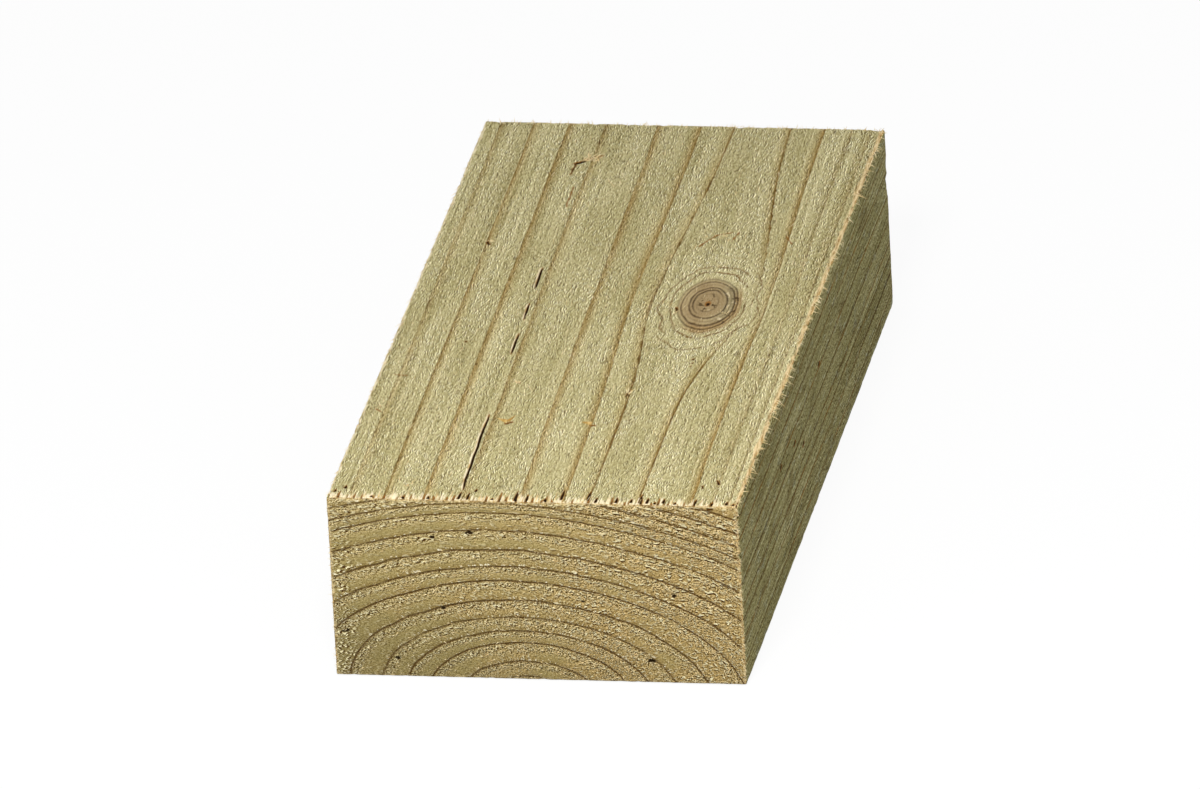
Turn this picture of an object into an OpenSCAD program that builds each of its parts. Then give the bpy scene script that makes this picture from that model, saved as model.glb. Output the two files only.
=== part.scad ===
// Short length of rough-sawn, preservative-treated softwood stud, lying on a wide face.
// X runs across the wide faces, Y along the grain and Z through the thickness.
// The origin is the middle of the face that it lies on, and the near end faces -Y.

/* [Stud] */
// Width of the two wide faces
stud_width = 100; // [75:1:225]
// Thickness between the wide faces
stud_thickness = 47; // [30:1:75]
// Length between the two sawn ends
stud_length = 225; // [80:1:4800]
// Radius of the four long edges, broken by handling
arris_radius = 0.6; // [0.2:0.1:3]

/* [Drying checks] */
// Distance of the checked grain line from the left edge, measured at the near end
check_inset = 32.2; // [12:0.1:60]
// Lean of that grain line towards the left edge, in degrees
check_lean = 1.2; // [-3:0.1:3]
// Middle of each check on the grain line, measured from the near end
check_middles = [28, 92, 111, 131]; // [10:1:220]
// Length of each check along the grain line
check_lengths = [44, 13, 10, 13]; // [8:1:60]
// Opening of a check at its middle
check_width = 0.6; // [0.2:0.1:2]
// Depth of a check at its middle
check_depth = 2; // [0.5:0.1:3.5]

/* [Torn grain] */
// Distance of the torn pocket from the left edge
tear_inset = 27; // [10:0.1:60]
// Distance of the middle of the pocket from the near end
tear_from_end = 197; // [12:1:212]
// Length of the pocket along the grain
tear_length = 8; // [5:0.5:20]
// Length of the hooked arm that runs on from the pocket's far tip
hook_length = 6; // [4:0.5:15]
// Turn of the hooked arm towards the right, in degrees from the grain
hook_angle = 46; // [20:1:80]
// Opening of the pocket and its arm
tear_width = 1.4; // [0.5:0.1:4]
// Depth of the pocket and its arm
tear_depth = 1.2; // [0.5:0.1:1.9]

/* [Chipped edge] */
// Distance of the chip in the upper right edge from the near end
chip_from_end = 54; // [10:1:215]
// Radius of the scooped chip
chip_radius = 9; // [4:0.5:20]
// Depth of the chip, measured square to the edge
chip_depth = 1.1; // [0.3:0.1:3]

/* [Hidden] */
$fn = 360;
half_width = stud_width / 2;
near_end = -stud_length / 2;
far_end = stud_length / 2;
left_edge = -half_width;

// Section of the stud, standing on the X axis, with its four corners rounded.
module section() {
    inner_width = stud_width - 2 * arris_radius;
    inner_thickness = stud_thickness - 2 * arris_radius;
    translate([-inner_width / 2, 0]) square([inner_width, stud_thickness]);
    translate([-half_width, arris_radius]) square([stud_width, inner_thickness]);
    for (x = [-inner_width / 2, inner_width / 2], z = [arris_radius, stud_thickness - arris_radius])
        translate([x, z]) circle(r = arris_radius);
}

// The sawn length before it dried and was handled.
module sawn_blank() {
    translate([0, far_end, 0]) rotate([90, 0, 0]) linear_extrude(stud_length) section();
}

// A boat-shaped groove along Y, open at the XY plane: the path of a V-edged wheel let in to the depth.
module groove(length, width, depth) {
    wheel_radius = (length * length / 4 + depth * depth) / (2 * depth);
    inner_radius = max(wheel_radius - 2 * depth, 0);
    flank = width / 2 / depth;
    rim = (wheel_radius - inner_radius) * flank;
    translate([0, 0, wheel_radius - depth]) rotate([0, 90, 0]) rotate_extrude()
        polygon([[wheel_radius, 0], [inner_radius, rim], [inner_radius, -rim]]);
}

// The row of checks that opened along one growth ring of the upper face as the timber dried.
module drying_checks() {
    translate([left_edge + check_inset, near_end, stud_thickness]) rotate([0, 0, check_lean])
        for (i = [0 : len(check_middles) - 1])
            if (check_middles[i] + check_lengths[i] / 2 < stud_length)
                translate([0, check_middles[i], 0])
                    groove(check_lengths[i], check_width, check_depth);
}

// A hooked pocket that the saw tore out of the upper face near the far end.
module torn_pocket() {
    hook_root = tear_length / 2 - tear_width;
    if (tear_from_end + hook_root + hook_length < stud_length)
        translate([left_edge + tear_inset, near_end + tear_from_end, stud_thickness]) {
            groove(tear_length, tear_width, tear_depth);
            translate([0, hook_root, 0]) rotate([0, 0, -hook_angle])
                translate([0, hook_length / 2, 0]) groove(hook_length, tear_width, tear_depth);
        }
}

// A scooped chip knocked out of the upper right edge.
module edge_chip() {
    corner_inset = arris_radius * (sqrt(2) - 1);
    reach = (chip_radius - chip_depth - corner_inset) / sqrt(2);
    if (chip_from_end + chip_radius < stud_length)
        translate([half_width + reach, near_end + chip_from_end, stud_thickness + reach])
            sphere(r = chip_radius);
}

module stud() {
    color([0.70, 0.65, 0.47]) difference() {
        sawn_blank();
        drying_checks();
        torn_pocket();
        edge_chip();
    }
}

stud();
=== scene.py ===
import math

import bmesh
import bpy
import numpy as np
from mathutils import Matrix, Vector, noise


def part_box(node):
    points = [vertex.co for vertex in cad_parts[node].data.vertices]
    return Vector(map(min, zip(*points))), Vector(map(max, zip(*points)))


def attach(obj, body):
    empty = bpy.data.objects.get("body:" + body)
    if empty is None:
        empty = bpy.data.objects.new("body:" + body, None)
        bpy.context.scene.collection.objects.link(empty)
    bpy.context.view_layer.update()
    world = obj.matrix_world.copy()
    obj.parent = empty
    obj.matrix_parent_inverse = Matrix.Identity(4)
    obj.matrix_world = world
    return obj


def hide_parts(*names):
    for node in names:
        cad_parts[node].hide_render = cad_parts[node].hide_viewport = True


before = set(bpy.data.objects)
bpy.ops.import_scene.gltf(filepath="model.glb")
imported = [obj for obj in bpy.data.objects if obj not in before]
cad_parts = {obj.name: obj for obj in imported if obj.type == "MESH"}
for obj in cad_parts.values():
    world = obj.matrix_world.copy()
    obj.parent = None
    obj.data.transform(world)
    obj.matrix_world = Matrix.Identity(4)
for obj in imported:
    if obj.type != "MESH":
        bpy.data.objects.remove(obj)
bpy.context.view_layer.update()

# The stud: one length of preservative-treated softwood, sawn to section on a band saw and cross-cut
# square. It is bare wood all round, with one knot, a row of drying checks, a torn pocket and a chipped
# arris on or beside its upper face.
MM = 0.001
stud_low, stud_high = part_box("stud")
stud_size = stud_high - stud_low
WIDTH, LENGTH, THICKNESS = (side / MM for side in stud_size)
ARRIS = 0.45

timber = bmesh.new()
bmesh.ops.create_cube(timber, size=1.0)
bmesh.ops.scale(timber, vec=stud_size, verts=timber.verts)
bmesh.ops.translate(timber, vec=(stud_low + stud_high) / 2, verts=timber.verts)
bmesh.ops.bevel(timber, geom=timber.edges[:], offset=ARRIS * MM, offset_type="OFFSET", segments=2,
                profile=0.5, affect="EDGES", material=-1)

GRID = (1.6, 2.4, 1.6)
LONG_EDGE = 10.0
for axis, spacing in enumerate(GRID):
    long_edges = [e for e in timber.edges
                  if abs(e.verts[0].co[axis] - e.verts[1].co[axis]) > LONG_EDGE * MM]
    cuts = round(stud_size[axis] / MM / spacing) - 1
    bmesh.ops.subdivide_edges(timber, edges=long_edges, cuts=cuts)

# Tears in the upper face: start and stop as offset from the left edge and distance from the near end, then
# half width and depth. The first three are the hooked pocket, the third a shallow patch of painted shade
# among its curls. The fifth and sixth are shallow dents holding the painted shadows under the golden chips,
# and the rest nicks, cracks and pin holes.
TORN_RUNS = (((26.8, 193.2), (27.0, 199.2), 0.35, 0.35), ((26.8, 200.2), (28.6, 201.8), 0.85, 0.8),
             ((28.6, 202.2), (32.6, 205.2), 1.0, 0.12), ((28.9, 174.0), (28.7, 186.0), 0.25, 0.25),
             ((56.9, 44.7), (57.7, 44.9), 0.6, 0.32), ((36.2, 44.8), (37.2, 45.8), 0.65, 0.32),
             ((34.2, 69.4), (35.6, 68.6), 0.4, 0.2), ((4.2, 72.1), (7.3, 71.5), 0.25, 0.2),
             ((3.2, 51.6), (4.5, 50.2), 0.4, 0.3), ((62.4, 62.4), (63.0, 66.0), 0.4, 0.5),
             ((75.2, 80.6), (75.2, 81.0), 0.34, 0.5), ((75.3, 82.6), (75.3, 83.0), 0.32, 0.5),
             ((75.1, 84.8), (75.1, 85.2), 0.32, 0.45), ((92.7, 14.8), (93.2, 12.6), 0.35, 0.5),
             ((89.5, 11.8), (89.7, 10.0), 0.3, 0.5), ((66.0, 115.6), (66.4, 113.8), 0.45, 0.7),
             ((18.0, 92.8), (18.1, 92.2), 0.3, 0.4), ((17.9, 88.4), (18.0, 87.6), 0.3, 0.4),
             ((13.1, 152.0), (13.9, 150.2), 0.4, 0.4), ((65.6, 152.0), (68.8, 158.8), 0.3, 0.25),
             ((68.8, 158.8), (72.6, 160.6), 0.3, 0.25), ((73.0, 155.0), (74.2, 161.4), 0.3, 0.2),
             ((86.0, 159.0), (88.0, 154.5), 0.25, 0.3))
# Pits in the near end: offset and height, radius and depth.
END_PITS = ((34.3, 38.3, 0.75, 0.7), (27.1, 18.3, 0.6, 0.8), (3.0, 11.7, 0.7, 0.9), (77.0, 5.7, 0.7, 0.9),
            (83.3, 23.0, 0.5, 0.7), (25.2, 36.9, 0.5, 0.5), (61.0, 21.0, 0.45, 0.5), (15.3, 4.9, 0.5, 0.7))
# Nicks in the right edge: distance from the near end and height.
EDGE_NICKS = ((118.0, 31.5), (80.0, 27.5), (60.0, 30.0), (92.0, 22.0))
NICK_HALF_LENGTH = 2.2
NICK_HALF_HEIGHT = 0.7
NICK_DEPTH = 0.5
KNOT_OFFSET = 73.3
KNOT_FROM_END = 118.0
KNOT_HALF_WIDTH = 7.25
KNOT_HALF_LENGTH = 15.0
SKIN = 0.6


def on_stud(places):
    """Offset from the left edge, distance from the near end and height of each place, in mm."""
    return ((np.array(places) - np.array(stud_low)) / MM).T


def from_run(offset, along, start, stop):
    """Distance of each point from a straight run on the upper face."""
    run = np.subtract(stop, start)
    share = np.clip(((offset - start[0]) * run[0] + (along - start[1]) * run[1]) / (run @ run), 0, 1)
    return np.hypot(offset - start[0] - share * run[0], along - start[1] - share * run[1])


def by_runs(offset, along, reach):
    """True within reach of any of the tears."""
    return np.min([from_run(offset, along, start, stop) for start, stop, *_ in TORN_RUNS], axis=0) < reach


def by_pits(offset, up, reach):
    """True within reach of any of the pits in the near end."""
    return np.min([np.hypot(offset - x, up - z) for x, z, *_ in END_PITS], axis=0) < reach


def nick_sizes(along, up):
    """Distance from the nearest nick in the right edge, in nick sizes."""
    sizes = [np.hypot((along - y) / NICK_HALF_LENGTH, (up - z) / NICK_HALF_HEIGHT) for y, z in EDGE_NICKS]
    return np.min(sizes, axis=0)


def knot_sizes(offset, along):
    """Distance from the knot's pith, in knot sizes."""
    return np.hypot((offset - KNOT_OFFSET) / KNOT_HALF_WIDTH, (along - KNOT_FROM_END) / KNOT_HALF_LENGTH)


def refine(near, right, left, knot, run, pit_and_fleck_shadow, nick):
    """Halves the grid within these reaches of the upper arrises, the knot, the tears, pits and nicks."""
    offset, along, up = on_stud([f.calc_center_median() for f in timber.faces])
    marked = (along < near) | (offset > WIDTH - right) | (offset < left)
    marked |= (knot_sizes(offset, along) < knot) | by_runs(offset, along, run)
    chosen = (up > THICKNESS - SKIN) & marked | (along < SKIN) & by_pits(offset, up, pit_and_fleck_shadow)
    chosen |= (offset > WIDTH - SKIN) & (nick_sizes(along, up) < nick)
    edges = dict.fromkeys(e for f, wanted in zip(timber.faces, chosen) if wanted for e in f.edges)
    bmesh.ops.subdivide_edges(timber, edges=list(edges), cuts=1, use_grid_fill=True)


# A sawn surface needs a fine grid: coarse on the hidden sides, finer on the upper face and the near end,
# and finest along the frayed near arris and round every tear and pit.
ALL = 1000.0
refine(ALL, 0.0, 0.0, 0.0, 0.0, ALL, 3.5)
refine(9.0, 2.6, 1.8, 1.15, 1.8, 1.5, 2.2)
refine(7.0, 0.0, 0.0, 0.0, 1.0, 0.9, 1.6)

# Each face shows a cut of wood that follows from the way it faces.
WIDE_FACE, END_GRAIN, NARROW_EDGE = range(3)
FACING = 0.7
timber.normal_update()
for face in timber.faces:
    if abs(face.normal.y) > FACING:
        face.material_index = END_GRAIN
    elif abs(face.normal.x) > FACING:
        face.material_index = NARROW_EDGE

# The drying checks lie on one grain line, which is cut into the grid so that each check has a sharp floor:
# middle and length of each, and how deep it is beside the longest.
CHECK_OFFSET = 32.2
CHECK_LEAN = math.tan(math.radians(1.2))
CHECKS = ((28.0, 46.0, 1.0), (92.0, 13.0, 0.55), (111.0, 10.0, 0.6), (131.0, 13.0, 0.85))
CHECK_HALF_WIDTH = 0.34
CHECK_DEPTH = 1.7
LIP_WIDTH = 0.5
STRIP_MIDDLE = CHECK_OFFSET - 2
STRIP_HALF_WIDTH = 8
for lip in (-CHECK_HALF_WIDTH - LIP_WIDTH, -CHECK_HALF_WIDTH, 0.0, CHECK_HALF_WIDTH):
    strip = [f for f in timber.faces if f.normal.z > 0.9
             and abs(on_stud(f.calc_center_median())[0] - STRIP_MIDDLE) < STRIP_HALF_WIDTH]
    parts = dict.fromkeys(part for f in strip for part in (f, *f.edges, *f.verts))
    start = stud_low + Vector((CHECK_OFFSET + lip, 0.0, THICKNESS)) * MM
    bmesh.ops.bisect_plane(timber, geom=list(parts), dist=1e-7, plane_co=start,
                           plane_no=(1.0, CHECK_LEAN, 0.0))

# How the saw and the grain shape the surface. Every depth is in mm, measured inwards.
timber.normal_update()
offset, along, up = on_stud([v.co for v in timber.verts])
points = np.stack([offset, along, up], axis=1)
normals = np.array([v.normal for v in timber.verts])
from_sides = np.stack([np.minimum(offset, WIDTH - offset), np.minimum(along, LENGTH - along),
                       np.minimum(up, THICKNESS - up)])
from_arris = np.sort(from_sides, axis=0)[1]
endwise = np.abs(normals[:, 1])
on_top = (up > THICKNESS - SKIN) & (normals[:, 2] > 0.3)
on_end = (along < SKIN) & (normals[:, 1] < -0.3)
EVEN = 1e6


def ripple(spots, waves, shift):
    """Smooth noise from -1 to 1, with waves of those lengths in mm sideways, lengthways and upwards."""
    return np.array([noise.noise(spot) for spot in spots / waves + (shift, 0.0, 0.0)])


def fade(distance, reach):
    """1 at no distance, falling evenly to 0 at the reach."""
    return np.clip(1 - np.abs(distance) / reach, 0, 1)


sink = 0.09 * (1 + ripple(points, (1.9, 7.0, 1.9), 3.0)) * (1 - endwise)
sink += 0.1 * (1 + ripple(points, (1.7, 60.0, 1.7), 9.0)) * endwise

# Torn and chipped arrises, worst on the upper right one, whose notches are darkened with painted shade.
upper_right = (up > THICKNESS / 2) & (offset > WIDTH / 2) & (from_sides[0] < 2)
ragged = ripple(points, (2.6, 2.8, 2.6), 15.0) + 0.5 * ripple(points, (0.9, 1.0, 0.9), 21.0)
bite = np.select([upper_right, up > THICKNESS - 2], [1.5, 0.6], 0.2)
sink += bite * np.clip(ragged, 0, 1) * fade(from_arris, 1.6)

hollow_shade = np.where(on_top & upper_right, np.clip(2.0 * ragged - 0.5, 0, 0.7) * fade(WIDTH - offset, 1.3), 0)

# Checks, boat-shaped along the line and darkened inside with painted shade, each with a pale lip on its left
# that is a painted highlight in the frayed wood's straw colour.
aside = offset - CHECK_OFFSET + CHECK_LEAN * along
check_lip_highlight = np.zeros(len(points))
for check_middle, check_length, check_share in CHECKS:
    boat = np.clip(1 - ((along - check_middle) / (check_length / 2)) ** 2, 0, 1)
    opening = np.where(on_top, check_share * fade(aside, CHECK_HALF_WIDTH) * boat, 0)
    check_lip_highlight += np.where(on_top, check_share * fade(aside + CHECK_HALF_WIDTH, LIP_WIDTH) * np.sqrt(boat), 0)
    sink += CHECK_DEPTH * opening
    hollow_shade = np.maximum(hollow_shade, 5.0 * opening)

# Tears and pits, each with an uneven outline, darkened with painted shade.
uneven = 0.25 * ripple(points, (0.9, 1.5, 0.9), 45.0)
for start, stop, half_width, depth in TORN_RUNS:
    opening = np.where(on_top, fade(from_run(offset, along, start, stop) + uneven, half_width), 0)
    sink = np.maximum(sink, depth * opening)
    hollow_shade = np.maximum(hollow_shade, np.minimum(1, 2.2 * depth) * np.minimum(1, 1.6 * opening))
for pit_offset, pit_height, pit_radius, depth in END_PITS:
    from_pit = np.hypot((offset - pit_offset) * 0.6, up - pit_height)
    opening = np.where(on_end, fade(from_pit + uneven, pit_radius), 0)
    sink = np.maximum(sink, depth * opening)
    hollow_shade = np.maximum(hollow_shade, np.minimum(1, 1.6 * opening))
nicked = np.where(offset > WIDTH - SKIN, fade(nick_sizes(along, up) + 1.5 * uneven, 1.0), 0)
sink = np.maximum(sink, NICK_DEPTH * nicked)

# The cross-cut saw left a comb of torn fibre along the near arris, with slots between the teeth: offset,
# start and length of each slot.
END_SLOTS = ((1.6, 3.2, 1.8), (3.8, 5.2, 2.0), (10.9, 0.6, 1.2), (18.5, 0.5, 1.6), (24.6, 0.6, 1.8),
             (31.9, 0.6, 4.6), (34.1, 0.8, 4.0), (35.5, 5.2, 1.8), (40.2, 0.5, 1.4), (45.7, 0.6, 5.6),
             (48.5, 0.8, 3.4), (53.0, 0.7, 2.0), (56.8, 1.6, 6.0), (63.2, 1.8, 5.2), (65.3, 0.6, 3.0),
             (70.2, 0.6, 3.4), (73.8, 0.9, 2.4), (75.9, 0.8, 5.4), (77.7, 0.7, 3.4), (79.6, 0.4, 1.6),
             (81.6, 1.2, 2.8), (84.5, 0.6, 1.5), (89.3, 1.2, 2.8), (93.4, 0.8, 1.8), (96.9, 0.9, 2.2),
             (98.6, 0.6, 1.4))
SLOT_HALF_WIDTH = 0.36
SLOT_DEPTH = 0.7
TOOTH = 0.8
TOOTH_SHIFT = 51.0
tooth = ripple(points, (TOOTH, EVEN, EVEN), TOOTH_SHIFT)
tooth_reach = np.clip(4.0 + 6.0 * ripple(points, (1.7, EVEN, EVEN), 57.0), 1.8, 7.0)
comb = np.where(on_top, np.minimum(1, 1.3 * fade(along, tooth_reach)), 0)
# The valleys between the teeth and the slots are darkened with painted shade.
valley = np.clip(-3.6 * tooth - 0.2, 0, 1) * comb
sink += 0.5 * valley
hollow_shade = np.maximum(hollow_shade, 0.8 * valley)
for slot_offset, slot_start, slot_length in END_SLOTS:
    middle = slot_start + slot_length / 2
    half_width = SLOT_HALF_WIDTH * (1.5 - np.clip((along - slot_start) / slot_length, 0, 1))
    opening = fade(offset - slot_offset, half_width) * np.sqrt(fade(along - middle, slot_length / 2))
    opening = np.where(on_top, opening, 0)
    sink += SLOT_DEPTH * opening
    hollow_shade = np.maximum(hollow_shade, 2.6 * opening)

# The knot stands a little proud inside a dished rim, with a small hole at its pith, darkened with painted
# shade.
NO_KNOT = 9.0
knot = np.where(on_top, knot_sizes(offset, along), NO_KNOT)
sink += 0.2 * np.exp(-((knot - 1.0) / 0.14) ** 2)
sink += 0.06 * np.sin(knot * 22) * np.clip(1.1 - knot, 0, 1)
sink += 0.4 * np.clip(1 - knot / 0.1, 0, 1)
hollow_shade = np.maximum(hollow_shade, np.clip(1.3 - knot / 0.1, 0, 1))

# The checks wander a little from their line, and the chip is a scoop out of the upper right arris.
CHIP_FROM_END = 54.0
CHIP_RADIUS = 9.0
CHIP_REACH = 5.4
moved = points - normals * sink[:, None]
wander = 0.4 * ripple(points, (EVEN, 11.0, EVEN), 61.0) + 0.15 * ripple(points, (EVEN, 2.7, EVEN), 67.0)
moved[:, 0] += np.where(on_top, wander * fade(aside, 3.0) * (from_sides[1] > 1), 0)
chip_heart = np.array([WIDTH + CHIP_REACH, CHIP_FROM_END, THICKNESS + CHIP_REACH])
from_heart = np.linalg.norm(moved - chip_heart, axis=1)
scooped = from_heart < CHIP_RADIUS
grow = (CHIP_RADIUS / from_heart)[scooped, None]
moved[scooped] = chip_heart + (moved[scooped] - chip_heart) * grow
for vertex, spot in zip(timber.verts, moved):
    vertex.co = stud_low + Vector(spot) * MM


def between_lines(places, across):
    """The line before each point, the gap to the next line and the share of that gap passed."""
    before = np.clip((places < across).sum(axis=0) - 1, 0, len(places) - 2)
    every = np.arange(len(across))
    gap = places[before + 1, every] - places[before, every]
    return before, gap, np.clip((across - places[before, every]) / gap, 0, 1)


# Where growth rings cut the upper face: offset from the left edge at the near end and at the far end, how far
# the knot pushes the line aside, how thin the line is and how clearly it shows, both from 0 to 1. The ring
# numbers count outwards from the heart side in the middle.
RING_LINES = ((-6.0, -7.0, 0.0, 0.3, 0.5), (5.3, 4.3, 0.0, 0.3, 0.6), (13.6, 12.4, 0.0, 0.5, 0.8),
              (23.5, 21.2, 0.0, 0.2, 0.9), (32.6, 30.2, 0.0, 0.3, 0.8), (46.6, 43.5, -0.4, 0.1, 0.9),
              (57.7, 54.4, -1.2, 0.2, 1.0), (63.8, 63.2, -4.0, 1.0, 1.0), (75.6, 76.0, 8.7, 0.8, 0.9),
              (88.7, 85.2, 0.9, 0.3, 1.0), (93.6, 92.4, 0.4, 0.6, 0.35), (97.6, 97.0, 0.2, 0.7, 0.3),
              (104.0, 104.0, 0.0, 0.5, 0.5))
RING_NUMBERS = np.array((6, 5, 4, 3, 2, 1, 1, 2, 3, 4, 5, 6, 7), float)
KNOT_PUSH_NEAR = 24.0
KNOT_PUSH_FAR = 48.0
HEART_RING = 6.0
past_knot = along - KNOT_FROM_END
bulge = np.exp(-0.5 * (past_knot / np.where(past_knot < 0, KNOT_PUSH_NEAR, KNOT_PUSH_FAR)) ** 2)
lines = np.array([near + (far - near) * along / LENGTH + push * bulge for near, far, push, *_ in RING_LINES])
before, gap, share = between_lines(lines, offset)
thinness, clearness = np.array([line[3:] for line in RING_LINES]).T[:, before + (share > 0.5)]
in_heart = RING_NUMBERS[before] == RING_NUMBERS[before + 1]
top_ring = RING_NUMBERS[before] + share * (RING_NUMBERS[before + 1] - RING_NUMBERS[before])
top_ring = np.where(in_heart, 1 - np.minimum(share, 1 - share) * gap / HEART_RING, top_ring)
top_gap = np.where(in_heart, HEART_RING, gap)
near_lines = np.array([near for near, *_ in RING_LINES])
straight = near_lines[before] + share * (near_lines[before + 1] - near_lines[before])

# Where they cut the narrow edges: depth below the upper face at the near end and at the far end.
EDGE_LINES = ((-4.0, -3.0), (3.4, 5.8), (8.5, 10.5), (14.8, 17.2), (20.4, 24.0), (26.4, 30.2), (29.6, 33.0),
              (34.6, 37.5), (41.0, 43.0), (50.0, 51.0))
edge_lines = np.array([near + (far - near) * along / LENGTH for near, far in EDGE_LINES])
before, edge_gap, share = between_lines(edge_lines, THICKNESS - up)
edge_ring = len(EDGE_LINES) - before - share

# At the ends and underneath, the rings are flattened arcs about a pith just under the stud, of these radii.
RING_RADII = (0.0, 9.5, 16.3, 24.9, 30.3, 36.6, 44.3, 53.2, 59.4, 67.1, 76.0, 84.0, 88.2, 93.0, 98.0, 103.5,
              112.0)
PITH_BELOW = 4.4
PITH_OFFSET = 47.0
PITH_DRIFT = 9.0
FLATTEN = 0.571
RING_FALL = 2.0


def arc_rings(spots):
    """Count of the growth rings from the pith, their spacing in mm and the angle round the pith."""
    across, length, height = spots.T
    rise = height + PITH_BELOW + RING_FALL * length / LENGTH + 0.5 * ripple(spots, (30.0, 45.0, 30.0), 31.0)
    sideways = across - PITH_OFFSET + PITH_DRIFT * height / THICKNESS
    sideways = sideways + 0.5 * ripple(spots, (16.0, 90.0, 16.0), 37.0)
    radius = np.hypot(sideways, rise / FLATTEN)
    steepness = np.hypot(sideways, rise / FLATTEN ** 2) / np.maximum(radius, 1.0)
    count = np.interp(radius, RING_RADII, range(len(RING_RADII)))
    spacing = np.interp(radius, RING_RADII[1:], np.diff(RING_RADII)) / steepness
    return count, spacing, np.arctan2(rise / FLATTEN, sideways)


MEAN_RADIUS = 60.0
ring, ring_gap, ring_angle = arc_rings(points)

# Pale frayed wood along the arrises, as seen on each kind of face, with the painted highlight on each check's
# lip.
torn_reach = 1.8 + 1.4 * ripple(points, (EVEN, 14.0, EVEN), 71.0)
top_fringe = np.maximum.reduce([comb * np.clip(0.5 + 1.7 * tooth, 0, 1.0), 0.9 * fade(along, 0.9),
                                1.2 * fade(WIDTH - offset, torn_reach), 0.75 * fade(offset, 1.2),
                                0.5 * fade(LENGTH - along, 1.2), 1.5 * check_lip_highlight])
end_fringe = np.maximum.reduce([0.95 * fade(THICKNESS - up, 0.9), 0.8 * fade(offset, 1.1),
                                0.85 * fade(WIDTH - offset, 1.2), 0.5 * fade(up, 1.1)])
edge_fringe = np.maximum.reduce([0.3 * fade(THICKNESS - up, 0.7), 0.4 * fade(from_sides[1], 0.9),
                                 0.25 * fade(up, 0.9)])


def stand(name, data):
    """A new object of that name in the scene."""
    made = bpy.data.objects.new(name, data)
    bpy.context.collection.objects.link(made)
    return made


def whole_numbers(items, name):
    """One whole number from each of a mesh's items."""
    numbers = np.empty(len(items), np.int64)
    items.foreach_get(name, numbers)
    return numbers


stud_mesh = bpy.data.meshes.new("stud_timber")
timber.to_mesh(stud_mesh)
timber.free()
stud_mesh.shade_smooth()
stud_timber = stand("stud_timber", stud_mesh)

# The wood's coordinates are kept on the corners of the faces, so that they change sharply at an arris. The
# edges and the underside lie apart in them, so that they don't repeat the upper face.
EDGES_APART = 200
UNDERSIDE_APART = 300
corners = whole_numbers(stud_mesh.loops, "vertex_index")
corners_of_face = whole_numbers(stud_mesh.polygons, "loop_total")
cut = np.repeat(whole_numbers(stud_mesh.polygons, "material_index"), corners_of_face)
upper_face = (cut == WIDE_FACE) & (up[corners] > THICKNESS / 2)


def keep_on_corners(name, top, under, end, edge):
    """Stores a value for each face corner, taken from the list for its cut of wood."""
    kinds = [upper_face, cut == WIDE_FACE, cut == END_GRAIN]
    picked = np.select(kinds, [top[corners], under[corners], end[corners]], edge[corners])
    stud_mesh.attributes.new(name, "FLOAT", "CORNER").data.foreach_set("value", picked.astype(np.float32))


nothing = np.zeros(len(points))
no_knot = nothing + NO_KNOT
keep_on_corners("across_grain", offset, offset, offset, up + EDGES_APART)
keep_on_corners("across_rings", straight, offset, offset, up + EDGES_APART)
keep_on_corners("along_grain", along, along + UNDERSIDE_APART, up, along)
keep_on_corners("round_rings", nothing, nothing, ring_angle * MEAN_RADIUS, nothing)
keep_on_corners("ring", top_ring, ring, ring, edge_ring)
keep_on_corners("ring_gap", top_gap, ring_gap, ring_gap, edge_gap)
keep_on_corners("fringe", top_fringe, 0.4 * edge_fringe, end_fringe, edge_fringe)
# Painted shade in every hollow, and in the nicks of the narrow edges.
keep_on_corners("hollow_shade", hollow_shade, nothing, hollow_shade, 1.5 * nicked)
keep_on_corners("knot", knot, no_knot, no_knot, no_knot)
keep_on_corners("thin", thinness, nothing + 0.5, nothing, nothing + 0.5)
keep_on_corners("clear", clearness, nothing + 1, nothing + 1, nothing + 1)


def shade(red, green, blue):
    """A colour as it reads on a screen, from 0 to 255, in linear light."""
    return tuple(((part / 255 + 0.055) / 1.055) ** 2.4 for part in (red, green, blue)) + (1.0,)


WOOD_SPECULAR = 0.08


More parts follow.
